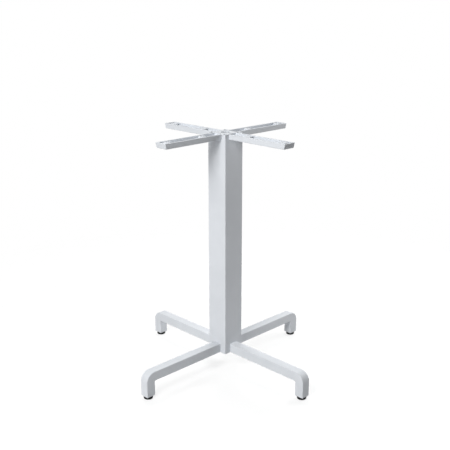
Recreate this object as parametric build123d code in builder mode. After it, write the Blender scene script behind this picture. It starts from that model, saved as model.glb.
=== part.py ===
from build123d import *
import os

# Pedestal table base. A square column stands on a cross of bent legs and carries a cross of flat arms
# for the tabletop. The origin is on the floor under the column's axis, +Z is up, and the legs and arms
# lie along X and Y. All sizes are in millimetres.

# Overall sizes
base_height = 720.0  # floor to the plane that the tabletop rests on
leg_reach = 321.0  # column axis to the outer face of a leg
arm_reach = 241.0  # column axis to the tip of an arm

# Column, a square tube notched at both ends
column_side = 70.0
column_wall = 3.0
column_outer_corner = 2.0
column_inner_corner = 1.0
notch_clearance = 0.25  # each side of an arm or leg

# Legs, each bent down at its outer end
leg_width = 28.0
leg_height = 28.0
leg_underside = 52.5  # floor to the straight run
leg_drop_thickness = 29.0  # the turned-down end, measured along the leg
leg_end_height = 8.0  # floor to the turned-down end
leg_bend_radius = 28.0  # outside of the bend
leg_inner_corner = 2.0
leg_edge_radius = 2.0
leg_root_gap = 0.5  # from a leg's inner end to the side of its neighbour
leg_root_wall = 2.5  # between a leg's inner end and its screw's counterbore
leg_counterbore_depth = 10.0

# Arms, each an open channel with two screw bosses in it
arm_width = 40.0
arm_height = 15.0
arm_side_wall = 5.0
arm_end_wall = 6.0
arm_channel_start = 27.0  # column axis to the channel's inner end
arm_channel_depth = 8.5
arm_channel_corner = 3.0
arm_tip_undercut = 4.0  # the tip's lower edge lies this much further in
arm_tip_corner = 2.0
arm_edge_radius = 1.5
arm_root_gap = 0.4  # between the mitred roots of neighbouring arms
inner_hole_radius = 91.0  # column axis to the inner tabletop hole
outer_hole_inset = 23.0  # tip of the arm to the outer tabletop hole
boss_diameter = 20.5
tabletop_hole_diameter = 6.5

# Hubs inside the column
hub_thickness = 20.0
hub_clearance = 0.3  # to the tube's inner walls

# Socket-head screws that hold arms and legs to the hubs
screw_diameter = 8.0
screw_head_diameter = 13.0
screw_head_height = 8.0
screw_head_chamfer = 0.6
screw_head_clearance = 1.0  # each side, in the legs
screw_socket_width = 6.0  # across flats
screw_socket_depth = 4.0
screw_hole_clearance = 0.5  # each side, in the legs and the top hub
screw_thread_clearance = 0.1  # each side, in the arms and the bottom hub
leg_screw_engagement = 16.0  # length inside the bottom hub
arm_screw_cover = 3.0  # from a screw's blind hole to the tabletop plane
arm_screw_tip_gap = 1.0  # from a screw's tip to the end of its hole

# Tie rod with its nuts and washers
rod_diameter = 10.0
rod_cover = 4.0  # below the tabletop plane
rod_overhang = 2.5  # past each nut
rod_tip_chamfer = 0.8
rod_thread_clearance = 0.1  # each side, in the nuts
rod_hole_clearance = 0.5  # each side, in hubs and washers
nut_width = 16.0  # across flats
nut_height = 8.0
nut_chamfer = 0.9
nut_well_radius = 13.0  # round opening in the arm roots and the top hub
washer_diameter = 20.0
washer_thickness = 2.0

# Feet, each a nylon pad moulded on a threaded stud
pad_diameter = 26.5
pad_height = 5.5
pad_lower_edge_radius = 1.5
pad_upper_edge_radius = 0.8
pad_collar_diameter = 16.0
pad_leg_gap = 0.3  # collar to the leg's end when screwed home
pad_floor = 2.0  # nylon under the stud's head
stud_diameter = 8.0
stud_head_diameter = 14.0
stud_head_height = 2.5
stud_length_in_leg = 25.0
stud_tip_chamfer = 0.8
stud_thread_clearance = 0.3  # each side, in the leg
stud_mould_clearance = 0.1  # each side, in the pad
stud_bore_spare = 3.0  # bore past the stud's tip

# Heights and places that follow from the sizes above
arm_underside = base_height - arm_height
arm_channel_floor = base_height - arm_channel_depth
arm_channel_end = arm_reach - arm_end_wall
arm_channel_width = arm_width - 2 * arm_side_wall
outer_hole_radius = arm_reach - outer_hole_inset
leg_top = leg_underside + leg_height
leg_root = leg_width / 2 + leg_root_gap
leg_screw_seat = leg_underside + leg_counterbore_depth
foot_radius = leg_reach - leg_drop_thickness / 2
column_inside = column_side - 2 * column_wall
hub_side = column_inside - 2 * hub_clearance
screw_well_radius = screw_head_diameter / 2 + screw_head_clearance
arm_screw_radius = (nut_well_radius + arm_channel_start) / 2
arm_screw_hole_depth = arm_height - arm_screw_cover
top_hub_underside = arm_underside - hub_thickness
leg_screw_radius = leg_root + leg_root_wall + screw_well_radius
rod_top = base_height - rod_cover
top_nut_underside = rod_top - rod_overhang - nut_height
top_washer_underside = top_nut_underside - washer_thickness
bottom_washer_underside = leg_top - washer_thickness
bottom_nut_underside = bottom_washer_underside - nut_height
rod_bottom = bottom_nut_underside - rod_overhang
stud_head_top = pad_floor + stud_head_height
collar_top = leg_end_height - pad_leg_gap
sides = {"right": 0, "back": 90, "left": 180, "front": 270}  # turn about Z from +X


def write(piece, name):
    """Labels a piece and writes it."""
    piece.part.label = name
    export_step(piece.part, f"parts/{name}.step")


def write_round(form, name):
    """Writes one copy of a piece for each side of the column."""
    for side, angle in sides.items():
        with BuildPart() as copy:
            add(form.part, rotation=(0, 0, angle))
        write(copy, f"{name}_{side}")


def notch_cross(width):
    """Two crossed bars that cut notches for arms or legs of one width in all four walls of the tube."""
    notch_width = width + 2 * notch_clearance
    Rectangle(2 * column_side, notch_width)
    Rectangle(notch_width, 2 * column_side)


def hub(underside, screw_radius, screw_clearance):
    """Square block inside the tube, bored for the tie rod and for four screws."""
    with BuildPart() as block:
        with BuildSketch(Plane.XY.offset(underside)):
            RectangleRounded(hub_side, hub_side, column_inner_corner)
            Circle(rod_diameter / 2 + rod_hole_clearance, mode=Mode.SUBTRACT)
            with PolarLocations(screw_radius, len(sides)):
                Circle(screw_diameter / 2 + screw_clearance, mode=Mode.SUBTRACT)
        extrude(amount=hub_thickness)
    return block


def socket_screws(radius, seat, length):
    """Four socket-head screws round the column, their heads below the seat and their shanks above it."""
    with BuildPart() as screws:
        with BuildSketch(Plane.XY.offset(seat)):
            with PolarLocations(radius, len(sides)):
                Circle(screw_head_diameter / 2)
        extrude(amount=-screw_head_height)
        crowns = screws.faces().filter_by(Axis.Z).sort_by(Axis.Z)[: len(sides)]
        chamfer(crowns.edges(), screw_head_chamfer)
        with BuildSketch(Plane.XY.offset(seat - screw_head_height)):
            with PolarLocations(radius, len(sides)):
                RegularPolygon(screw_socket_width / 2, 6, major_radius=False)
        extrude(amount=screw_socket_depth, mode=Mode.SUBTRACT)
        with BuildSketch(Plane.XY.offset(seat)):
            with PolarLocations(radius, len(sides)):
                Circle(screw_diameter / 2)
        extrude(amount=length)
    return screws


def washer(underside):
    """Flat washer on the tie rod."""
    with BuildPart() as ring:
        with BuildSketch(Plane.XY.offset(underside)):
            Circle(washer_diameter / 2)
            Circle(rod_diameter / 2 + rod_hole_clearance, mode=Mode.SUBTRACT)
        extrude(amount=washer_thickness)
    return ring


def nut(underside):
    """Hexagon nut on the tie rod, its corners turned down at both ends."""
    with BuildPart() as hexagon:
        with BuildSketch(Plane.XY.offset(underside)):
            Circle(nut_width / 3**0.5)
        extrude(amount=nut_height)
        chamfer(hexagon.edges().filter_by(GeomType.CIRCLE), nut_chamfer)
        with BuildSketch(Plane.XY.offset(underside)):
            RegularPolygon(nut_width / 2, 6, major_radius=False)
            Circle(rod_diameter / 2 + rod_thread_clearance, mode=Mode.SUBTRACT)
        extrude(amount=nut_height, mode=Mode.INTERSECT)
    return hexagon


os.makedirs("parts", exist_ok=True)

# Column
with BuildPart() as column:
    with BuildSketch(Plane.XY.offset(leg_underside)):
        RectangleRounded(column_side, column_side, column_outer_corner)
        RectangleRounded(column_inside, column_inside, column_inner_corner, mode=Mode.SUBTRACT)
    extrude(amount=base_height - leg_underside)
    with BuildSketch(Plane.XY.offset(arm_underside)):
        notch_cross(arm_width)
    extrude(amount=arm_height, mode=Mode.SUBTRACT)
    with BuildSketch(Plane.XY.offset(leg_underside)):
        notch_cross(leg_width)
    extrude(amount=leg_height, mode=Mode.SUBTRACT)
write(column, "column")

# Leg, drawn along +X
with BuildPart() as leg:
    with BuildSketch(Plane.XZ) as leg_outline:
        with BuildLine():
            Polyline(
                (leg_root, leg_underside),
                (leg_reach - leg_drop_thickness, leg_underside),
                (leg_reach - leg_drop_thickness, leg_end_height),
                (leg_reach, leg_end_height),
                (leg_reach, leg_top),
                (leg_root, leg_top),
                close=True,
            )
        make_face()
        bend_inside = (leg_reach - leg_drop_thickness, leg_underside)
        fillet(leg_outline.vertices().sort_by_distance(bend_inside)[0], leg_inner_corner)
        bend_outside = (leg_reach, leg_top)
        fillet(leg_outline.vertices().sort_by_distance(bend_outside)[0], leg_bend_radius)
    extrude(amount=leg_width / 2, both=True)
    flank_edges = leg.faces().filter_by(Axis.Y).edges()
    root_edges = flank_edges.group_by(Axis.X)[0]
    end_edges = leg.faces().sort_by(Axis.Z)[0].edges().filter_by(Axis.Y)
    fillet(flank_edges - root_edges + end_edges, leg_edge_radius)
    with BuildSketch(Plane.XY.offset(leg_end_height)):
        with Locations((foot_radius, 0)):
            Circle(stud_diameter / 2 + stud_thread_clearance)
    extrude(amount=stud_length_in_leg + stud_bore_spare, mode=Mode.SUBTRACT)
    with BuildSketch(Plane.XY.offset(leg_underside)):
        with Locations((leg_screw_radius, 0)):
            Circle(screw_well_radius)
    extrude(amount=leg_counterbore_depth, mode=Mode.SUBTRACT)
    with BuildSketch(Plane.XY.offset(leg_screw_seat)):
        with Locations((leg_screw_radius, 0)):
            Circle(screw_diameter / 2 + screw_hole_clearance)
    extrude(amount=leg_top - leg_screw_seat, mode=Mode.SUBTRACT)
write_round(leg, "leg")

# Arm, drawn along +X
mitre_start = arm_root_gap / 2**0.5
with BuildPart() as arm:
    with BuildSketch(Plane.XY.offset(arm_underside)):
        with BuildLine():
            Polyline(
                (mitre_start, 0),
                (mitre_start + arm_width / 2, -arm_width / 2),
                (arm_reach, -arm_width / 2),
                (arm_reach, arm_width / 2),
                (mitre_start + arm_width / 2, arm_width / 2),
                close=True,
            )
        make_face()
        Circle(nut_well_radius, mode=Mode.SUBTRACT)
    extrude(amount=arm_height)
    with BuildSketch(Plane.XZ):
        with BuildLine():
            Polyline(
                (arm_reach, base_height),
                (arm_reach, arm_underside),
                (arm_reach - arm_tip_undercut, arm_underside),
                close=True,
            )
        make_face()
    extrude(amount=arm_width, both=True, mode=Mode.SUBTRACT)
    tip_edges = arm.faces().sort_by(Axis.X)[-1].edges()
    fillet(tip_edges - tip_edges.filter_by(Axis.Y), arm_tip_corner)
    lower_edges = arm.faces().sort_by(Axis.Z)[0].edges()
    fillet(lower_edges.filter_by_position(Axis.X, arm_width, arm_reach), arm_edge_radius)
    with BuildSketch(Plane.XY.offset(arm_channel_floor)):
        with Locations(((arm_channel_start + arm_channel_end) / 2, 0)):
            RectangleRounded(arm_channel_end - arm_channel_start, arm_channel_width, arm_channel_corner)
        with Locations((inner_hole_radius, 0), (outer_hole_radius, 0)):
            Circle(boss_diameter / 2, mode=Mode.SUBTRACT)
    extrude(amount=arm_channel_depth, mode=Mode.SUBTRACT)
    with BuildSketch(Plane.XY.offset(arm_underside)):
        with Locations((inner_hole_radius, 0), (outer_hole_radius, 0)):
            Circle(tabletop_hole_diameter / 2)
    extrude(amount=arm_height, mode=Mode.SUBTRACT)
    with BuildSketch(Plane.XY.offset(arm_underside)):
        with Locations((arm_screw_radius, 0)):
            Circle(screw_diameter / 2 + screw_thread_clearance)
    extrude(amount=arm_screw_hole_depth, mode=Mode.SUBTRACT)
write_round(arm, "top_arm")

# Top hub, sunk in the middle for the tie rod's washer and nut
plain_top_hub = hub(top_hub_underside, arm_screw_radius, screw_hole_clearance)
with BuildPart() as top_hub:
    add(plain_top_hub.part)
    with BuildSketch(Plane.XY.offset(top_washer_underside)):
        Circle(nut_well_radius)
    extrude(amount=arm_underside - top_washer_underside, mode=Mode.SUBTRACT)
write(top_hub, "top_hub")

# Bottom hub and the screws of both hubs
write(hub(leg_top, leg_screw_radius, screw_thread_clearance), "bottom_hub")
arm_screw_length = hub_thickness + arm_screw_hole_depth - arm_screw_tip_gap
write(socket_screws(arm_screw_radius, top_hub_underside, arm_screw_length), "arm_screws")
leg_screw_length = leg_top - leg_screw_seat + leg_screw_engagement
write(socket_screws(leg_screw_radius, leg_screw_seat, leg_screw_length), "leg_screws")

# Tie rod between the hubs
with BuildPart() as tie_rod:
    with BuildSketch(Plane.XY.offset(rod_bottom)):
        Circle(rod_diameter / 2)
    extrude(amount=rod_top - rod_bottom)
    chamfer(tie_rod.edges().filter_by(GeomType.CIRCLE), rod_tip_chamfer)
write(tie_rod, "tie_rod")
write(washer(top_washer_underside), "top_washer")
write(nut(top_nut_underside), "top_nut")
write(washer(bottom_washer_underside), "bottom_washer")
write(nut(bottom_nut_underside), "bottom_nut")

# Foot pad, on the foot's own axis under the leg along +X
with BuildPart() as pad:
    with BuildSketch(Plane.XY):
        with Locations((foot_radius, 0)):
            Circle(pad_diameter / 2)
    extrude(amount=pad_height)
    fillet(pad.edges().group_by(Axis.Z)[0], pad_lower_edge_radius)
    fillet(pad.edges().group_by(Axis.Z)[-1], pad_upper_edge_radius)
    with BuildSketch(Plane.XY.offset(pad_height)):
        with Locations((foot_radius, 0)):
            Circle(pad_collar_diameter / 2)
    extrude(amount=collar_top - pad_height)
    with BuildSketch(Plane.XY.offset(pad_floor)):
        with Locations((foot_radius, 0)):
            Circle(stud_head_diameter / 2 + stud_mould_clearance)
    extrude(amount=stud_head_height, mode=Mode.SUBTRACT)
    with BuildSketch(Plane.XY.offset(stud_head_top)):
        with Locations((foot_radius, 0)):
            Circle(stud_diameter / 2 + stud_mould_clearance)
    extrude(amount=collar_top - stud_head_top, mode=Mode.SUBTRACT)
write_round(pad, "foot_pad")

# Foot stud, its head held inside the pad
with BuildPart() as stud:
    with BuildSketch(Plane.XY.offset(pad_floor)):
        with Locations((foot_radius, 0)):
            Circle(stud_head_diameter / 2)
    extrude(amount=stud_head_height)
    with BuildSketch(Plane.XY.offset(stud_head_top)):
        with Locations((foot_radius, 0)):
            Circle(stud_diameter / 2)
    extrude(amount=leg_end_height + stud_length_in_leg - stud_head_top)
    chamfer(stud.edges().group_by(Axis.Z)[-1], stud_tip_chamfer)
write_round(stud, "foot_stud")
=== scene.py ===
"""Looks of the pedestal table base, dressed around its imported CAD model.

The CAD nodes keep their shapes and places and get their finishes here. The screws, the tie rod and
the feet, which are plain solids in the frame, are replaced by pieces that carry their threads, knurls,
sockets and grip rings. All lengths are in metres.
"""

import logging
import math
from dataclasses import dataclass
from enum import Enum

import bpy
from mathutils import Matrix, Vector


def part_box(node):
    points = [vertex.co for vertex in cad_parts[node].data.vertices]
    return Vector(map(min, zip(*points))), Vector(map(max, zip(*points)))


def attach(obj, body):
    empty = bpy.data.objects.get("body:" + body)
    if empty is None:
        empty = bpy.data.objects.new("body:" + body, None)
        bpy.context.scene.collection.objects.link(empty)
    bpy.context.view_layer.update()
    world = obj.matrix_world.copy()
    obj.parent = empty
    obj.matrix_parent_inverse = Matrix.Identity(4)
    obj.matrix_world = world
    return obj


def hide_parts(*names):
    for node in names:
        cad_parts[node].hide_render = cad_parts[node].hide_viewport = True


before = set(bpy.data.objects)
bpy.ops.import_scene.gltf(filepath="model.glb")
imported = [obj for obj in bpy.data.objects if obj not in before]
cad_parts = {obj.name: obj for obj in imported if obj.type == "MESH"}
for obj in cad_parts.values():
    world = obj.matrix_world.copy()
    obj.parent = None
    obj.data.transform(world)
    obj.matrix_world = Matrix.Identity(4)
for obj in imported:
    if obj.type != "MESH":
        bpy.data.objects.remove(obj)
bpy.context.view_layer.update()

log = logging.getLogger("table_base")


class Slot(Enum):
    """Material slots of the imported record."""

    COAT = "coated_aluminium"
    CASTING = "bare_casting"
    ZINC = "zinc_plated_steel"
    NYLON = "black_nylon"


class Side(Enum):
    """Directions that the arms, the legs and the feet point in, by their names in the frame."""

    RIGHT = "right"
    BACK = "back"
    LEFT = "left"
    FRONT = "front"

    def node(self, kind: str) -> str:
        """Name of this side's CAD node of one kind."""
        return f"{kind}_{self.value}"


class Term:
    """An output socket that takes part in arithmetic. Each operation adds one Math node to its tree."""

    def __init__(self, socket: bpy.types.NodeSocket) -> None:
        """Wraps a socket."""
        self.socket = socket

    def math(self, operation: str, *others: "Term | float") -> "Term":
        """Adds a Math node with this term as its first input.

        Args:
            operation: Blender's name of the operation.
            others: The node's other inputs.

        Returns:
            The node's result.
        """
        return calculate(self.socket.id_data, operation, self, *others)

    def __add__(self, other: "Term | float") -> "Term":
        """Sum with another term."""
        return self.math("ADD", other)

    def __sub__(self, other: "Term | float") -> "Term":
        """Difference to another term."""
        return self.math("SUBTRACT", other)

    def __rsub__(self, other: float) -> "Term":
        """A number less this term."""
        return calculate(self.socket.id_data, "SUBTRACT", other, self)

    def __mul__(self, other: "Term | float") -> "Term":
        """Product with another term."""
        return self.math("MULTIPLY", other)

    def __truediv__(self, other: "Term | float") -> "Term":
        """Quotient by another term."""
        return self.math("DIVIDE", other)

    def between(self, low: "Term | float", high: "Term | float") -> "Term":
        """This term, kept within two limits."""
        return self.math("MAXIMUM", low).math("MINIMUM", high)

    def sibling(self, name: str) -> "Term":
        """Another output of the node that this term comes from."""
        return Term(self.socket.node.outputs[name])


Value = Term | float


def feed(target: bpy.types.NodeSocket, value: object) -> None:
    """Links a term to an input socket, or sets the socket to a plain value.

    Args:
        target: The input socket.
        value: A term, or a value of the socket's own type.
    """
    if isinstance(value, Term):
        target.id_data.links.new(value.socket, target)
    else:
        target.default_value = value


def calculate(tree: bpy.types.NodeTree, operation: str, *values: Value) -> Term:
    """Adds a Math node.

    Args:
        tree: The tree that gets the node.
        operation: Blender's name of the operation.
        values: The node's inputs in order.

    Returns:
        The node's result.
    """
    node = tree.nodes.new("ShaderNodeMath")
    node.operation = operation
    for target, value in zip(node.inputs, values):
        feed(target, value)
    return Term(node.outputs[0])


def place(
    tree: bpy.types.NodeTree, kind: str, inputs: dict[str, object] | None = None, **options: object
) -> Term:
    """Adds a node.

    Args:
        tree: The tree that gets the node.
        kind: Blender's name of the node type.
        inputs: Values and terms for the node's inputs, by socket identifier.
        options: The node's own settings.

    Returns:
        The first of the node's outputs that are in use.
    """
    node = tree.nodes.new(kind)
    for name, option in options.items():
        setattr(node, name, option)
    sockets = {socket.identifier: socket for socket in node.inputs}
    for identifier, value in (inputs or {}).items():
        feed(sockets[identifier], value)
    return Term(next(socket for socket in node.outputs if socket.enabled))


def show(tree: bpy.types.NodeTree, kind: str, surface: Term) -> None:
    """Ends a material or a world in its output node.

    Args:
        tree: The material's or the world's tree.
        kind: Blender's name of the output node type.
        surface: The shader to show.
    """
    feed(tree.nodes.new(kind).inputs["Surface"], surface)


class Group:
    """A node group with named inputs and outputs."""

    def __init__(self, name: str, kind: str) -> None:
        """Makes an empty group.

        Args:
            name: The group's name.
            kind: Blender's name of the tree type.
        """
        self.tree = bpy.data.node_groups.new(name, kind)
        self.entry = self.tree.nodes.new("NodeGroupInput")
        self.exit = self.tree.nodes.new("NodeGroupOutput")

    def takes(self, name: str, kind: str = "Float") -> Term:
        """Adds a named input and returns it as a term."""
        self.tree.interface.new_socket(name, in_out="INPUT", socket_type=f"NodeSocket{kind}")
        return Term(self.entry.outputs[name])

    def gives(self, name: str, value: Term, kind: str = "Float") -> None:
        """Adds a named output that puts out a term."""
        self.tree.interface.new_socket(name, in_out="OUTPUT", socket_type=f"NodeSocket{kind}")
        feed(self.exit.inputs[name], value)

    def used_in(self, tree: bpy.types.NodeTree, **values: object) -> Term:
        """Places the finished group in another tree.

        Args:
            tree: The tree that gets the group.
            values: Values and terms for the group's inputs, by their names with _ for a space.

        Returns:
            The group's first output.
        """
        node = tree.nodes.new(self.tree.bl_idname.replace("NodeTree", "NodeGroup"))
        node.node_tree = self.tree
        for name, value in values.items():
            feed(node.inputs[name.replace("_", " ")], value)
        return Term(node.outputs[0])


class Bands:
    """Geometry node groups that each make one band of a turned piece, from ring to ring on the Z axis."""

    MIDDLE = 0.5
    SOCKET_SIDES = 6
    ROWS_A_TURN = 2
    COLUMNS_A_RIDGE = 2
    KNURL_ROWS = 3
    KNURL_RUN_OUT = 0.06
    KNURL_END_MASK = 0.1

    def __init__(self) -> None:
        """Builds the three groups."""
        self.plain = self.plain_band()
        self.thread = self.thread_band()
        self.knurl = self.knurl_band()

    @classmethod
    def flat_sheet(cls, tree: bpy.types.NodeTree, columns: Term, rows: Value) -> tuple[Term, Term, Term]:
        """Adds the flat grid that a band is bent from.

        Args:
            tree: The band's tree.
            columns: Faces round the axis.
            rows: Faces from ring to ring.

        Returns:
            The grid, and at each of its points the share of a full turn and of the way to the end ring.
        """
        points = {"Vertices X": columns + 1, "Vertices Y": rows + 1}
        grid = place(tree, "GeometryNodeMeshGrid", {"Size X": 1.0, "Size Y": 1.0, **points})
        spot = place(tree, "GeometryNodeInputPosition")
        share = place(tree, "ShaderNodeSeparateXYZ", {"Vector": spot})
        return grid, share + cls.MIDDLE, share.sibling("Y") + cls.MIDDLE

    @staticmethod
    def bent(tree: bpy.types.NodeTree, grid: Term, turn: Term, radius: Term, height: Term) -> Term:
        """Bends a grid round the Z axis.

        Args:
            tree: The band's tree.
            grid: The flat grid.
            turn: Share of a full turn at each point.
            radius: Distance from the axis at each point.
            height: Height at each point.

        Returns:
            The bent grid.
        """
        angle = turn * math.tau
        spot = {"X": angle.math("COSINE") * radius, "Y": angle.math("SINE") * radius, "Z": height}
        moved = place(tree, "ShaderNodeCombineXYZ", spot)
        return place(tree, "GeometryNodeSetPosition", {"Geometry": grid, "Position": moved})

    def plain_band(self) -> Group:
        """Builds a band between two rings, each of them round or, where its flats are 1, six-sided.

        Returns:
            The band's group.
        """
        group = Group("plain_band", "GeometryNodeTree")
        columns = group.takes("Columns", "Int")
        start_height, start_radius = group.takes("Start Height"), group.takes("Start Radius")
        end_height, end_radius = group.takes("End Height"), group.takes("End Radius")
        start_flats, end_flats = group.takes("Start Flats"), group.takes("End Flats")
        grid, turn, along = self.flat_sheet(group.tree, columns, 1)
        share_of_side = (turn * self.SOCKET_SIDES).math("FRACT")
        from_middle_of_side = (share_of_side - self.MIDDLE) * (math.tau / self.SOCKET_SIDES)
        flats = start_flats + (end_flats - start_flats) * along
        round_radius = start_radius + (end_radius - start_radius) * along
        side_radius = round_radius / from_middle_of_side.math("COSINE")
        radius = round_radius + (side_radius - round_radius) * flats
        height = start_height + (end_height - start_height) * along
        group.gives("Band", self.bent(group.tree, grid, turn, radius, height), "Geometry")
        return group

    def thread_band(self) -> Group:
        """Builds a band with a V thread that runs out at both ends. Its rows climb along crests and roots.

        Returns:
            The band's group.
        """
        group = Group("thread_band", "GeometryNodeTree")
        columns, turns = group.takes("Columns", "Int"), group.takes("Turns", "Int")
        start_height, end_height = group.takes("Start Height"), group.takes("End Height")
        crest_radius, depth = group.takes("Radius"), group.takes("Depth")
        grid, turn, along = self.flat_sheet(group.tree, columns, turns * self.ROWS_A_TURN)
        length = end_height - start_height
        pitch = length / (turns - 1)
        climb = (along * (length + pitch) + (turn - 1) * pitch).between(0.0, length)
        in_root = (along * turns * self.ROWS_A_TURN).math("ROUND").math("MODULO", self.ROWS_A_TURN)
        run_out = (climb.math("MINIMUM", length - climb) / pitch).between(0.0, 1.0)
        radius = crest_radius - depth * in_root * run_out
        group.gives("Band", self.bent(group.tree, grid, turn, radius, start_height + climb), "Geometry")
        return group

    def knurl_band(self) -> Group:
        """Builds a straight band with a groove on every second column that stops short of both ends.

        Returns:
            The band's group.
        """
        group = Group("knurl_band", "GeometryNodeTree")
        columns = group.takes("Columns", "Int")
        start_height, end_height = group.takes("Start Height"), group.takes("End Height")
        crest_radius, depth = group.takes("Radius"), group.takes("Depth")
        grid, turn, along = self.flat_sheet(group.tree, columns, self.KNURL_ROWS)
        stretch = self.KNURL_ROWS * (1 - 2 * self.KNURL_RUN_OUT)
        widened = (along - self.MIDDLE) * stretch + self.MIDDLE
        in_groove = (turn * columns).math("ROUND").math("MODULO", self.COLUMNS_A_RIDGE)
        off_ends = (along * (1 - along)).math("GREATER_THAN", self.KNURL_END_MASK)
        radius = crest_radius - depth * in_groove * off_ends
        height = start_height + (end_height - start_height) * widened.between(0.0, 1.0)
        group.gives("Band", self.bent(group.tree, grid, turn, radius, height), "Geometry")
        return group


class Lathe:
    """Turns a closed piece on the Z axis, band by band, from the middle of its underside out and up."""

    WELD_DISTANCE = 2e-6
    SHARP_ANGLE = math.radians(28)
    ARC_STEPS = 5

    def __init__(self, group: Group, bands: Bands, height: Value) -> None:
        """Starts on the axis.

        Args:
            group: The tree that gets the piece. It gains an input for the faces round the axis.
            bands: The band groups.
            height: Where on the axis the piece starts.
        """
        self.group = group
        self.bands = bands
        self.columns = group.takes("Columns", "Int")
        self.height, self.radius, self.flats = height, 0.0, 0.0
        self.made: list[Term] = []

    def turn_to(self, height: Value, radius: Value, flats: float = 0.0) -> None:
        """Adds a plain band up to a ring.

        Args:
            height: The ring's height.
            radius: The ring's distance from the axis, or that of its flats.
            flats: 0 for a round ring and 1 for a six-sided one.
        """
        band = self.bands.plain.used_in(
            self.group.tree,
            Columns=self.columns,
            Start_Height=self.height,
            Start_Radius=self.radius,
            Start_Flats=self.flats,
            End_Height=height,
            End_Radius=radius,
            End_Flats=flats,
        )
        self.made.append(band)
        self.height, self.radius, self.flats = height, radius, flats

    def round_to(self, height: Term, radius: Term, edge: Term, rising: bool) -> None:
        """Adds a quarter round.

        Args:
            height: Where the quarter round ends.
            radius: Distance from the axis where it ends.
            edge: Its own radius.
            rising: True for a lower edge, which ends upright. An upper edge ends level.
        """
        for step in range(1, self.ARC_STEPS + 1):
            angle = math.pi / 2 * (1 - step / self.ARC_STEPS)
            if rising:
                self.turn_to(height - edge * math.sin(angle), radius - edge * (1 - math.cos(angle)))
            else:
                self.turn_to(height - edge * (1 - math.cos(angle)), radius + edge * math.sin(angle))

    def thread_to(self, height: Value, turns: Term, depth: Term) -> None:
        """Adds a threaded band of the radius that the lathe stands at.

        Args:
            height: Where the band ends.
            turns: Turns of the thread.
            depth: Depth of its groove.
        """
        band = self.bands.thread.used_in(
            self.group.tree,
            Columns=self.columns,
            Turns=turns,
            Start_Height=self.height,
            End_Height=height,
            Radius=self.radius,
            Depth=depth,
        )
        self.made.append(band)
        self.height = height

    def knurl_to(self, height: Value, depth: Term) -> None:
        """Adds a knurled band of the radius that the lathe stands at.

        Args:
            height: Where the band ends.
            depth: Depth of the grooves.
        """
        band = self.bands.knurl.used_in(
            self.group.tree,
            Columns=self.columns,
            Start_Height=self.height,
            End_Height=height,
            Radius=self.radius,
            Depth=depth,
        )
        self.made.append(band)
        self.height = height

    def welded(self) -> Term:
        """Joins the bands, welds their rings and shades the piece smooth between its sharp edges.

        Returns:
            The closed piece.
        """
        tree = self.group.tree
        joined = place(tree, "GeometryNodeJoinGeometry")
        for band in self.made:
            feed(joined.socket.node.inputs[0], band)
        rings = {"Geometry": joined, "Distance": self.WELD_DISTANCE}
        merged = place(tree, "GeometryNodeMergeByDistance", rings)
        smooth = place(tree, "GeometryNodeSetShadeSmooth", {"Geometry": merged}, domain="FACE")
        sharp = place(tree, "GeometryNodeInputMeshEdgeAngle").math("GREATER_THAN", self.SHARP_ANGLE)
        creased = {"Geometry": smooth, "Selection": sharp, "Shade Smooth": False}
        return place(tree, "GeometryNodeSetShadeSmooth", creased, domain="EDGE")


def end_tree(group: Group, geometry: Term) -> bpy.types.NodeTree:
    """Ends a geometry tree in real meshes with one material.

    Args:
        group: The tree. It gains a material input and its only output.
        geometry: What the tree has made.

    Returns:
        The finished tree.
    """
    real = place(group.tree, "GeometryNodeRealizeInstances", {"Geometry": geometry})
    dressed = {"Geometry": real, "Material": group.takes("Material", "Material")}
    group.gives("Geometry", place(group.tree, "GeometryNodeSetMaterial", dressed), "Geometry")
    return group.tree


def grow(name: str, tree: bpy.types.NodeTree, **sizes: object) -> bpy.types.Object:
    """Runs a geometry tree once and keeps its result as a plain mesh.

    Args:
        name: The new piece's name.
        tree: The geometry tree.
        sizes: The tree's inputs, by their names with _ for a space.

    Returns:
        The new piece.
    """
    start = bpy.data.meshes.new(f"{name}_start")
    piece = bpy.data.objects.new(name, start)
    bpy.context.scene.collection.objects.link(piece)
    modifier = piece.modifiers.new("shape", "NODES")
    modifier.node_group = tree
    entries = {item.name: item.identifier for item in tree.interface.items_tree if item.in_out == "INPUT"}
    for label, size in sizes.items():
        modifier[entries[label.replace("_", " ")]] = size
    shape = bpy.data.meshes.new_from_object(piece.evaluated_get(bpy.context.evaluated_depsgraph_get()))
    shape.name = name
    # The empty start mesh can leave empty slots in front of the tree's own material
    while shape.materials[0] is None:
        shape.materials.pop(index=0)
    piece.modifiers.remove(modifier)
    piece.data = shape
    bpy.data.meshes.remove(start)
    return piece


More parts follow.
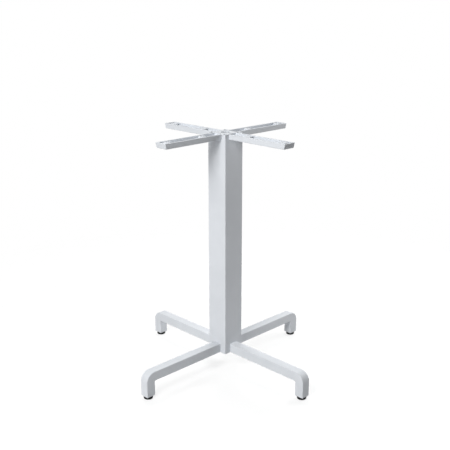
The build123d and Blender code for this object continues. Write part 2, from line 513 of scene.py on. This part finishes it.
class FinishGroups:
    """Shader node groups that the finishes share."""

    CLOUD_DETAIL = 3.0
    CLOUD_RANGE = (0.36, 0.64)
    GRAIN_DETAIL = 1.0
    SWELL_DETAIL = 0.0
    SWELL_SCALE = 0.22
    SWELL_WEIGHT = 0.6

    def __init__(self) -> None:
        """Builds the groups."""
        self.tone = self.cloudy_tone()
        self.gloss = self.broken_gloss()
        self.grain = self.fine_grain()
        self.flecks = self.scattered_flecks()

    @classmethod
    def clouds(cls, group: Group) -> Term:
        """Adds soft clouds, with inputs for their place and scale.

        Args:
            group: The group that gets the clouds.

        Returns:
            A value from 0 to 1 at each point.
        """
        spot, scale = group.takes("Spot", "Vector"), group.takes("Per Metre")
        field = {"Vector": spot, "Scale": scale, "Detail": cls.CLOUD_DETAIL}
        noise = place(group.tree, "ShaderNodeTexNoise", field)
        low, high = cls.CLOUD_RANGE
        limits = {"Value": noise, "From Min": low, "From Max": high}
        return place(group.tree, "ShaderNodeMapRange", limits, interpolation_type="SMOOTHSTEP")

    def cloudy_tone(self) -> Group:
        """Builds a colour that drifts between two tones.

        Returns:
            The colour's group.
        """
        group = Group("cloudy_tone", "ShaderNodeTree")
        clouds = self.clouds(group)
        light, dark = group.takes("Light", "Color"), group.takes("Dark", "Color")
        mix = {"Factor_Float": clouds, "A_Color": dark, "B_Color": light}
        group.gives("Tone", place(group.tree, "ShaderNodeMix", mix, data_type="RGBA"), "Color")
        return group

    def broken_gloss(self) -> Group:
        """Builds a roughness that drifts between two values.

        Returns:
            The roughness's group.
        """
        group = Group("broken_gloss", "ShaderNodeTree")
        clouds = self.clouds(group)
        smoothest, roughest = group.takes("Smoothest"), group.takes("Roughest")
        group.gives("Roughness", smoothest + (roughest - smoothest) * clouds)
        return group

    def fine_grain(self) -> Group:
        """Builds a relief of fine grains on a coarser swell.

        Returns:
            The relief's group.
        """
        group = Group("fine_grain", "ShaderNodeTree")
        spot, scale = group.takes("Spot", "Vector"), group.takes("Per Metre")
        grain = {"Vector": spot, "Scale": scale, "Detail": self.GRAIN_DETAIL}
        fine = place(group.tree, "ShaderNodeTexNoise", grain)
        swell = {"Vector": spot, "Scale": scale * self.SWELL_SCALE, "Detail": self.SWELL_DETAIL}
        coarse = place(group.tree, "ShaderNodeTexNoise", swell)
        group.gives("Height", fine + coarse * self.SWELL_WEIGHT)
        return group

    def scattered_flecks(self) -> Group:
        """Builds a mask of small round flecks, each at a random place in its cell.

        Returns:
            The mask's group.
        """
        group = Group("scattered_flecks", "ShaderNodeTree")
        spot, scale, size = group.takes("Spot", "Vector"), group.takes("Per Metre"), group.takes("Size")
        cells = place(group.tree, "ShaderNodeTexVoronoi", {"Vector": spot, "Scale": scale})
        group.gives("Mask", (1 - cells / size).between(0.0, 1.0))
        return group


@dataclass(frozen=True)
class Finish:
    """A surface finish: a cloudy tone with flecks, a gloss that drifts and a fine relief."""

    slot: Slot
    light_tone: tuple[float, float, float]
    dark_tone: tuple[float, float, float]
    fleck_tone: tuple[float, float, float]
    clouds_per_metre: float
    flecks_per_metre: float
    fleck_size: float
    smoothest: float
    roughest: float
    gloss_per_metre: float
    grains_per_metre: float
    grain_depth: float
    metallic: float
    specular: float = 0.5
    stretch: tuple[float, float, float] = (1.0, 1.0, 1.0)

    def material(self, groups: FinishGroups) -> bpy.types.Material:
        """Builds the finish as a material.

        Args:
            groups: The shader groups that all finishes share.

        Returns:
            The material, named after its slot.
        """
        made = bpy.data.materials.new(f"{self.slot.value}_finish")
        made.use_nodes = True
        tree = made.node_tree
        tree.nodes.clear()
        spot = place(tree, "ShaderNodeTexCoord").sibling("Object")
        drawn = place(tree, "ShaderNodeMapping", {"Vector": spot, "Scale": self.stretch})
        shades = {"Light": (*self.light_tone, 1.0), "Dark": (*self.dark_tone, 1.0)}
        tone = groups.tone.used_in(tree, Spot=spot, Per_Metre=self.clouds_per_metre, **shades)
        dots = {"Per_Metre": self.flecks_per_metre, "Size": self.fleck_size}
        flecks = groups.flecks.used_in(tree, Spot=spot, **dots)
        flecked = {"Factor_Float": flecks, "A_Color": tone, "B_Color": (*self.fleck_tone, 1.0)}
        span = {"Smoothest": self.smoothest, "Roughest": self.roughest}
        gloss = groups.gloss.used_in(tree, Spot=drawn, Per_Metre=self.gloss_per_metre, **span)
        grain = groups.grain.used_in(tree, Spot=drawn, Per_Metre=self.grains_per_metre)
        bump = place(tree, "ShaderNodeBump", {"Distance": self.grain_depth, "Height": grain})
        skin = {
            "Base Color": place(tree, "ShaderNodeMix", flecked, data_type="RGBA"),
            "Roughness": gloss,
            "Metallic": self.metallic,
            "Specular IOR Level": self.specular,
            "Normal": bump,
        }
        show(tree, "ShaderNodeOutputMaterial", place(tree, "ShaderNodeBsdfPrincipled", skin))
        return made


FINISHES = (
    Finish(
        slot=Slot.COAT,
        light_tone=(0.746, 0.772, 0.808),
        dark_tone=(0.718, 0.744, 0.780),
        fleck_tone=(0.686, 0.710, 0.744),
        clouds_per_metre=14.0,
        flecks_per_metre=260.0,
        fleck_size=0.11,
        smoothest=0.50,
        roughest=0.58,
        gloss_per_metre=40.0,
        grains_per_metre=900.0,
        grain_depth=0.00008,
        metallic=0.0,
        specular=0.2,
    ),
    Finish(
        slot=Slot.CASTING,
        light_tone=(0.62, 0.63, 0.64),
        dark_tone=(0.50, 0.51, 0.53),
        fleck_tone=(0.30, 0.30, 0.31),
        clouds_per_metre=55.0,
        flecks_per_metre=420.0,
        fleck_size=0.22,
        smoothest=0.42,
        roughest=0.62,
        gloss_per_metre=120.0,
        grains_per_metre=1300.0,
        grain_depth=0.00015,
        metallic=1.0,
    ),
    Finish(
        slot=Slot.ZINC,
        light_tone=(0.56, 0.57, 0.585),
        dark_tone=(0.44, 0.455, 0.48),
        fleck_tone=(0.64, 0.64, 0.625),
        clouds_per_metre=180.0,
        flecks_per_metre=900.0,
        fleck_size=0.30,
        smoothest=0.24,
        roughest=0.38,
        gloss_per_metre=500.0,
        grains_per_metre=1500.0,
        grain_depth=0.00004,
        metallic=1.0,
        stretch=(0.25, 0.25, 4.0),
    ),
    Finish(
        slot=Slot.NYLON,
        light_tone=(0.010, 0.010, 0.011),
        dark_tone=(0.006, 0.006, 0.007),
        fleck_tone=(0.020, 0.020, 0.021),
        clouds_per_metre=150.0,
        flecks_per_metre=1200.0,
        fleck_size=0.18,
        smoothest=0.42,
        roughest=0.56,
        gloss_per_metre=300.0,
        grains_per_metre=3000.0,
        grain_depth=0.00005,
        metallic=0.0,
        specular=0.2,
    ),
)
Materials = dict[Slot, bpy.types.Material]


def dress(node: str, slot: Slot, materials: Materials) -> None:
    """Gives a CAD node its finish.

    Args:
        node: The node's name.
        slot: The finish to use.
        materials: The finishes by slot.
    """
    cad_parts[node].material_slots[0].material = materials[slot]
    log.info("dressed %s in %s", node, slot.value)


def hand_over(piece: bpy.types.Object, body: str, slot: Slot, *nodes: str) -> None:
    """Ties a new piece to its body and to the CAD nodes that it stands for.

    Args:
        piece: The finished piece.
        body: The CAD body that it moves with.
        slot: Not used.
        nodes: The CAD nodes that it replaces.
    """
    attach(piece, body)
    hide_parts(*nodes)
    log.info("made %s for %s, %d faces", piece.name, ", ".join(nodes), len(piece.data.polygons))


@dataclass
class ThreadCut:
    """A metric thread with V-shaped grooves."""

    pitch: float
    depth_share: float = 0.6134

    @property
    def depth(self) -> float:
        """Depth of the groove."""
        return self.pitch * self.depth_share

    def turns(self, length: float) -> int:
        """Whole turns on a length of thread."""
        return round(length / self.pitch) + 1


@dataclass
class SocketScrews:
    """A ring of socket-head screws with knurled heads below, threaded at their tips."""

    node: str
    thread: ThreadCut
    count: int = 4
    columns: int = 72
    shank_radius: float = 0.004
    head_radius: float = 0.0065
    head_height: float = 0.008
    head_chamfer: float = 0.0006
    knurl_depth: float = 0.00016
    socket_width: float = 0.006
    socket_depth: float = 0.004
    tip_chamfer: float = 0.0008
    thread_length: float = 0.014

    HEADS_DOWN = (math.pi, 0.0, 0.0)

    @classmethod
    def tree(cls, bands: Bands) -> bpy.types.NodeTree:
        """Builds the geometry tree of a ring of screws, each drawn upright with its seat at height 0.

        Args:
            bands: The band groups.

        Returns:
            The finished tree, which turns the screws over and lifts them to their seats.
        """
        group = Group("socket_screw_ring", "GeometryNodeTree")
        shank, length = group.takes("Shank Radius"), group.takes("Shank Length")
        chamfer, threaded = group.takes("Tip Chamfer"), group.takes("Thread Length")
        turns, depth = group.takes("Thread Turns", "Int"), group.takes("Thread Depth")
        head, crown = group.takes("Head Radius"), group.takes("Head Height")
        head_chamfer, knurl = group.takes("Head Chamfer"), group.takes("Knurl Depth")
        socket, socket_depth = group.takes("Socket Width") * 0.5, group.takes("Socket Depth")
        tip = length * -1
        lathe = Lathe(group, bands, tip)
        lathe.turn_to(tip, shank - chamfer)
        lathe.turn_to(tip + chamfer, shank)
        lathe.thread_to(tip + chamfer + threaded, turns, depth)
        lathe.turn_to(0.0, shank)
        lathe.turn_to(0.0, head)
        lathe.knurl_to(crown - head_chamfer, knurl)
        lathe.turn_to(crown, head - head_chamfer)
        lathe.turn_to(crown, socket, flats=1.0)
        lathe.turn_to(crown - socket_depth, socket, flats=1.0)
        lathe.turn_to(crown - socket_depth, 0.0)
        ring = {"Vertices": group.takes("Count", "Int"), "Radius": group.takes("Ring Radius")}
        points = place(group.tree, "GeometryNodeMeshCircle", ring)
        copies = {"Points": points, "Instance": lathe.welded(), "Rotation": cls.HEADS_DOWN}
        screws = place(group.tree, "GeometryNodeInstanceOnPoints", copies)
        lift = place(group.tree, "ShaderNodeCombineXYZ", {"Z": group.takes("Seat Height")})
        seated = place(group.tree, "GeometryNodeTransform", {"Geometry": screws, "Translation": lift})
        return end_tree(group, seated)

    def build(self, name: str, tree: bpy.types.NodeTree, materials: Materials) -> None:
        """Makes the ring and puts it in place of its CAD node.

        Args:
            name: The new piece's name.
            tree: The geometry tree of a ring of screws.
            materials: The finishes by slot.
        """
        low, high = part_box(self.node)
        screws = grow(
            name,
            tree,
            Columns=self.columns,
            Count=self.count,
            Ring_Radius=high.x - self.head_radius,
            Seat_Height=low.z + self.head_height,
            Shank_Radius=self.shank_radius,
            Shank_Length=high.z - low.z - self.head_height,
            Tip_Chamfer=self.tip_chamfer,
            Thread_Length=self.thread_length,
            Thread_Turns=self.thread.turns(self.thread_length),
            Thread_Depth=self.thread.depth,
            Head_Radius=self.head_radius,
            Head_Height=self.head_height,
            Head_Chamfer=self.head_chamfer,
            Knurl_Depth=self.knurl_depth,
            Socket_Width=self.socket_width,
            Socket_Depth=self.socket_depth,
            Material=materials[Slot.ZINC],
        )
        hand_over(screws, "base", Slot.ZINC, self.node)


@dataclass
class TieRod:
    """The rod through the column, threaded at both ends, with its nuts and washers."""

    thread: ThreadCut
    columns: int = 48
    tip_chamfer: float = 0.0008
    thread_length: float = 0.039

    @staticmethod
    def tree(bands: Bands) -> bpy.types.NodeTree:
        """Builds the geometry tree of a rod that is threaded at both ends.

        Args:
            bands: The band groups.

        Returns:
            The finished tree.
        """
        group = Group("threaded_rod", "GeometryNodeTree")
        bottom, top, radius = group.takes("Bottom"), group.takes("Top"), group.takes("Radius")
        chamfer, threaded = group.takes("Tip Chamfer"), group.takes("Thread Length")
        turns, depth = group.takes("Thread Turns", "Int"), group.takes("Thread Depth")
        lathe = Lathe(group, bands, bottom)
        lathe.turn_to(bottom, radius - chamfer)
        lathe.turn_to(bottom + chamfer, radius)
        lathe.thread_to(bottom + chamfer + threaded, turns, depth)
        lathe.turn_to(top - chamfer - threaded, radius)
        lathe.thread_to(top - chamfer, turns, depth)
        lathe.turn_to(top, radius - chamfer)
        lathe.turn_to(top, 0.0)
        return end_tree(group, lathe.welded())

    def build(self, bands: Bands, materials: Materials) -> None:
        """Makes the rod and dresses its nuts and washers.

        Args:
            bands: The band groups.
            materials: The finishes by slot.
        """
        low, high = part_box("tie_rod")
        rod = grow(
            "threaded_tie_rod",
            self.tree(bands),
            Columns=self.columns,
            Bottom=low.z,
            Top=high.z,
            Radius=(high.x - low.x) / 2,
            Tip_Chamfer=self.tip_chamfer,
            Thread_Length=self.thread_length,
            Thread_Turns=self.thread.turns(self.thread_length),
            Thread_Depth=self.thread.depth,
            Material=materials[Slot.ZINC],
        )
        hand_over(rod, "base", Slot.ZINC, "tie_rod")
        for node in ("top_nut", "top_washer", "bottom_nut", "bottom_washer"):
            dress(node, Slot.ZINC, materials)


@dataclass
class Column:
    """The square tube, and the cast hubs inside its two ends."""

    tube: str = "column"
    hubs: tuple[str, str] = ("top_hub", "bottom_hub")

    def build(self, materials: Materials) -> None:
        """Dresses the tube and the hubs.

        Args:
            materials: The finishes by slot.
        """
        dress(self.tube, Slot.COAT, materials)
        for hub in self.hubs:
            dress(hub, Slot.CASTING, materials)


@dataclass
class Cross:
    """Four arms or four legs, and the screws that hold them to their hub."""

    kind: str
    screws: SocketScrews

    def build(self, screw_tree: bpy.types.NodeTree, materials: Materials) -> None:
        """Dresses the four castings and makes their screws.

        Args:
            screw_tree: The geometry tree of a ring of screws.
            materials: The finishes by slot.
        """
        for side in Side:
            dress(side.node(self.kind), Slot.COAT, materials)
        self.screws.build(f"{self.kind}_socket_screws", screw_tree, materials)


@dataclass
class LevellingFoot:
    """A nylon pad with grip rings, moulded on the head of a threaded stud."""

    side: Side
    thread: ThreadCut
    columns: int = 60
    stud_radius: float = 0.004
    stud_head_height: float = 0.0025
    stud_tip_chamfer: float = 0.0008
    pad_height: float = 0.0055
    pad_lower_edge: float = 0.0015
    pad_upper_edge: float = 0.0008
    collar_radius: float = 0.008
    mould_clearance: float = 0.0001
    ring_depth: float = 0.0005
    ring_width: float = 0.001
    ring_spacing: float = 0.0028

    RING_COUNT = 3

    @staticmethod
    def stud_tree(bands: Bands) -> bpy.types.NodeTree:
        """Builds the geometry tree of a headed stud, threaded from the pad's collar to its tip.

        Args:
            bands: The band groups.

        Returns:
            The finished tree.
        """
        group = Group("threaded_stud", "GeometryNodeTree")
        bottom, top, radius = group.takes("Bottom"), group.takes("Top"), group.takes("Radius")
        head, head_height = group.takes("Head Radius"), group.takes("Head Height")
        thread_start, chamfer = group.takes("Thread Start"), group.takes("Tip Chamfer")
        turns, depth = group.takes("Thread Turns", "Int"), group.takes("Thread Depth")
        lathe = Lathe(group, bands, bottom)
        lathe.turn_to(bottom, head)
        lathe.turn_to(bottom + head_height, head)
        lathe.turn_to(bottom + head_height, radius)
        lathe.turn_to(thread_start, radius)
        lathe.thread_to(top - chamfer, turns, depth)
        lathe.turn_to(top, radius - chamfer)
        lathe.turn_to(top, 0.0)
        centre = {"Geometry": lathe.welded(), "Translation": group.takes("Centre", "Vector")}
        return end_tree(group, place(group.tree, "GeometryNodeTransform", centre))

    @classmethod
    def pad_tree(cls, bands: Bands) -> bpy.types.NodeTree:
        """Builds the geometry tree of a pad with grip rings below and a pocket for the stud's head.

        Args:
            bands: The band groups.

        Returns:
            The finished tree.
        """
        group = Group("nylon_pad", "GeometryNodeTree")
        radius, height = group.takes("Radius"), group.takes("Height")
        lower_edge, upper_edge = group.takes("Lower Edge"), group.takes("Upper Edge")
        collar, collar_top = group.takes("Collar Radius"), group.takes("Collar Top")
        bore = group.takes("Bore")
        pocket, pocket_floor = group.takes("Pocket Radius"), group.takes("Pocket Floor")
        pocket_roof, ring_depth = group.takes("Pocket Roof"), group.takes("Ring Depth")
        ring_width, ring_spacing = group.takes("Ring Width"), group.takes("Ring Spacing")
        lathe = Lathe(group, bands, 0.0)
        for number in range(1, cls.RING_COUNT + 1):
            inner = ring_spacing * number
            lathe.turn_to(0.0, inner)
            lathe.turn_to(ring_depth, inner)
            lathe.turn_to(ring_depth, inner + ring_width)
            lathe.turn_to(0.0, inner + ring_width)
        lathe.turn_to(0.0, radius - lower_edge)
        lathe.round_to(lower_edge, radius, lower_edge, rising=True)
        lathe.turn_to(height - upper_edge, radius)
        lathe.round_to(height, radius - upper_edge, upper_edge, rising=False)
        lathe.turn_to(height, collar)
        lathe.turn_to(collar_top, collar)
        lathe.turn_to(collar_top, bore)
        lathe.turn_to(pocket_roof, bore)
        lathe.turn_to(pocket_roof, pocket)
        lathe.turn_to(pocket_floor, pocket)
        lathe.turn_to(pocket_floor, 0.0)
        centre = {"Geometry": lathe.welded(), "Translation": group.takes("Centre", "Vector")}
        return end_tree(group, place(group.tree, "GeometryNodeTransform", centre))

    def build(
        self, stud_tree: bpy.types.NodeTree, pad_tree: bpy.types.NodeTree, materials: Materials
    ) -> None:
        """Makes the stud and the pad and puts them in place of their CAD nodes.

        Args:
            stud_tree: The geometry tree of a stud.
            pad_tree: The geometry tree of a pad.
            materials: The finishes by slot.
        """
        body = self.side.node("foot")
        stud_low, stud_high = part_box(self.side.node("foot_stud"))
        pad_low, pad_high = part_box(self.side.node("foot_pad"))
        centre = (pad_low + pad_high) / 2
        head_radius = (stud_high.x - stud_low.x) / 2
        threaded = stud_high.z - self.stud_tip_chamfer - pad_high.z
        stud = grow(
            self.side.node("threaded_stud"),
            stud_tree,
            Columns=self.columns,
            Centre=(centre.x, centre.y, 0.0),
            Bottom=stud_low.z,
            Top=stud_high.z,
            Radius=self.stud_radius,
            Head_Radius=head_radius,
            Head_Height=self.stud_head_height,
            Thread_Start=pad_high.z,
            Tip_Chamfer=self.stud_tip_chamfer,
            Thread_Turns=self.thread.turns(threaded),
            Thread_Depth=self.thread.depth,
            Material=materials[Slot.ZINC],
        )
        hand_over(stud, body, Slot.ZINC, self.side.node("foot_stud"))
        pad = grow(
            self.side.node("nylon_pad"),
            pad_tree,
            Columns=self.columns,
            Centre=(centre.x, centre.y, pad_low.z),
            Radius=(pad_high.x - pad_low.x) / 2,
            Height=self.pad_height,
            Lower_Edge=self.pad_lower_edge,
            Upper_Edge=self.pad_upper_edge,
            Collar_Radius=self.collar_radius,
            Collar_Top=pad_high.z - pad_low.z,
            Bore=self.stud_radius + self.mould_clearance,
            Pocket_Radius=head_radius + self.mould_clearance,
            Pocket_Floor=stud_low.z - pad_low.z,
            Pocket_Roof=stud_low.z - pad_low.z + self.stud_head_height,
            Ring_Depth=self.ring_depth,
            Ring_Width=self.ring_width,
            Ring_Spacing=self.ring_spacing,
            Material=materials[Slot.NYLON],
        )
        hand_over(pad, body, Slot.NYLON, self.side.node("foot_pad"))


@dataclass(frozen=True)
class SoftBox:
    """A square area lamp."""

    name: str
    spot: tuple[float, float, float]
    side: float
    power: float
    aim: tuple[float, float, float] = (0.0, 0.0, 0.35)

    def build(self) -> None:
        """Hangs the lamp."""
        light = bpy.data.lights.new(self.name, "AREA")
        light.shape = "SQUARE"
        light.size = self.side
        light.energy = self.power
        lamp = bpy.data.objects.new(self.name, light)
        lamp.location = self.spot
        lamp.rotation_euler = (Vector(self.aim) - Vector(self.spot)).to_track_quat("-Z", "Y").to_euler()
        lamp.visible_camera = False
        bpy.context.scene.collection.objects.link(lamp)
        log.info("hung %s", self.name)


@dataclass
class Studio:
    """White surroundings, soft lamps, a floor that takes the shadow, and the camera."""

    soft_boxes: tuple[SoftBox, ...] = (
        SoftBox("key", spot=(0.60, -2.24, 2.10), side=1.2, power=56.2),
        SoftBox("front_fill", spot=(0.0, -4.30, 0.72), side=2.8, power=55.5),
        SoftBox("back_fill", spot=(0.36, 1.62, 0.70), side=0.9, power=18.9),
        SoftBox("overhead", spot=(-2.40, 1.90, 4.90), side=3.0, power=160.0),
    )
    ambient: float = 0.01
    floor_half: float = 1.8
    floor_drop: float = 0.0005
    floor_white: float = 0.60
    floor_film: float = 0.31
    floor_see_through: float = 0.75
    floor_fade: tuple[float, float] = (0.75, 1.5)
    camera_spot: tuple[float, float, float] = (1.5402, -1.5255, 1.0997)
    camera_tilt: float = 73.206
    camera_heading: float = 45.303
    camera_lens: float = 61.77

    WHITE = (1.0, 1.0, 1.0, 1.0)

    def build(self) -> None:
        """Sets up the studio round the finished base."""
        bpy.context.scene.view_settings.view_transform = "Standard"
        self.surroundings()
        self.floor()
        for box in self.soft_boxes:
            box.build()
        self.camera()

    @staticmethod
    def in_sight(tree: bpy.types.NodeTree) -> Term:
        """Adds the mask of rays that come from the camera, straight or by a reflection or through glass.

        Args:
            tree: The tree of a material or of the world.

        Returns:
            1 on such rays and 0 on all others.
        """
        ray = place(tree, "ShaderNodeLightPath")
        mirrored = ray.math("MAXIMUM", ray.sibling("Is Glossy Ray"))
        return mirrored.math("MAXIMUM", ray.sibling("Is Transmission Ray"))

    def surroundings(self) -> None:
        """White as the camera and reflections see it, and a gentle light on everything else."""
        world = bpy.data.worlds.new("studio_white")
        bpy.context.scene.world = world
        world.use_nodes = True
        tree = world.node_tree
        tree.nodes.clear()
        white = place(tree, "ShaderNodeBackground", {"Color": self.WHITE, "Strength": 1.0})
        glow = place(tree, "ShaderNodeBackground", {"Color": self.WHITE, "Strength": self.ambient})
        shaders = {"Fac": self.in_sight(tree), "Shader": glow, "Shader_001": white}
        show(tree, "ShaderNodeOutputWorld", place(tree, "ShaderNodeMixShader", shaders))

    def floor_material(self) -> bpy.types.Material:
        """White paper as the object sees it, and to the camera a film that darkens only in the shadow.

        Returns:
            The floor's material, which fades out all round.
        """
        made = bpy.data.materials.new("pale_floor")
        made.use_nodes = True
        tree = made.node_tree
        tree.nodes.clear()
        spot = place(tree, "ShaderNodeTexCoord").sibling("Object")
        away = place(tree, "ShaderNodeVectorMath", {"Vector": spot}, operation="LENGTH")
        near, far = self.floor_fade
        fade = {"Value": away, "From Min": near, "From Max": far, "To Min": 1.0, "To Max": 0.0}
        film = place(tree, "ShaderNodeMapRange", fade, interpolation_type="SMOOTHSTEP")
        paper = place(tree, "ShaderNodeBsdfDiffuse", {"Color": film * self.floor_white})
        shade = place(tree, "ShaderNodeBsdfDiffuse", {"Color": film * self.floor_film})
        held_back = film * (1 - self.floor_see_through)
        clear = place(tree, "ShaderNodeBsdfTransparent", {"Color": 1 - held_back})
        seen = place(tree, "ShaderNodeAddShader", {"Shader": shade, "Shader_001": clear})
        shaders = {"Fac": self.in_sight(tree), "Shader": paper, "Shader_001": seen}
        show(tree, "ShaderNodeOutputMaterial", place(tree, "ShaderNodeMixShader", shaders))
        return made

    def floor(self) -> None:
        """Lays the floor just under the feet."""
        half, height = self.floor_half, -self.floor_drop
        quarters = ((-1, -1), (1, -1), (1, 1), (-1, 1))
        corners = [(half * x, half * y, height) for x, y in quarters]
        sheet = bpy.data.meshes.new("studio_floor")
        sheet.from_pydata(corners, [], [(0, 1, 2, 3)])
        sheet.materials.append(self.floor_material())
        floor = bpy.data.objects.new("studio_floor", sheet)
        bpy.context.scene.collection.objects.link(floor)
        log.info("laid studio_floor")

    def camera(self) -> None:
        """Stands the camera where the photograph was taken from."""
        lens = bpy.data.cameras.new("photograph_view")
        lens.lens = self.camera_lens
        view = bpy.data.objects.new("photograph_view", lens)
        view.location = self.camera_spot
        view.rotation_euler = (math.radians(self.camera_tilt), 0.0, math.radians(self.camera_heading))
        bpy.context.scene.collection.objects.link(view)
        bpy.context.scene.camera = view


def main() -> None:
    """Builds and dresses the sub-assemblies in order, then the studio."""
    logging.basicConfig(level=logging.INFO, format="%(name)s: %(message)s")
    groups = FinishGroups()
    materials = {finish.slot: finish.material(groups) for finish in FINISHES}
    bands = Bands()
    coarse_m8, coarse_m10 = ThreadCut(pitch=0.00125), ThreadCut(pitch=0.0015)
    screw_tree = SocketScrews.tree(bands)
    stud_tree, pad_tree = LevellingFoot.stud_tree(bands), LevellingFoot.pad_tree(bands)
    Column().build(materials)
    Cross("top_arm", SocketScrews("arm_screws", coarse_m8)).build(screw_tree, materials)
    Cross("leg", SocketScrews("leg_screws", coarse_m8)).build(screw_tree, materials)
    TieRod(coarse_m10).build(bands, materials)
    for side in Side:
        LevellingFoot(side, coarse_m8).build(stud_tree, pad_tree, materials)
    Studio().build()


if __name__ == "__main__":
    main()
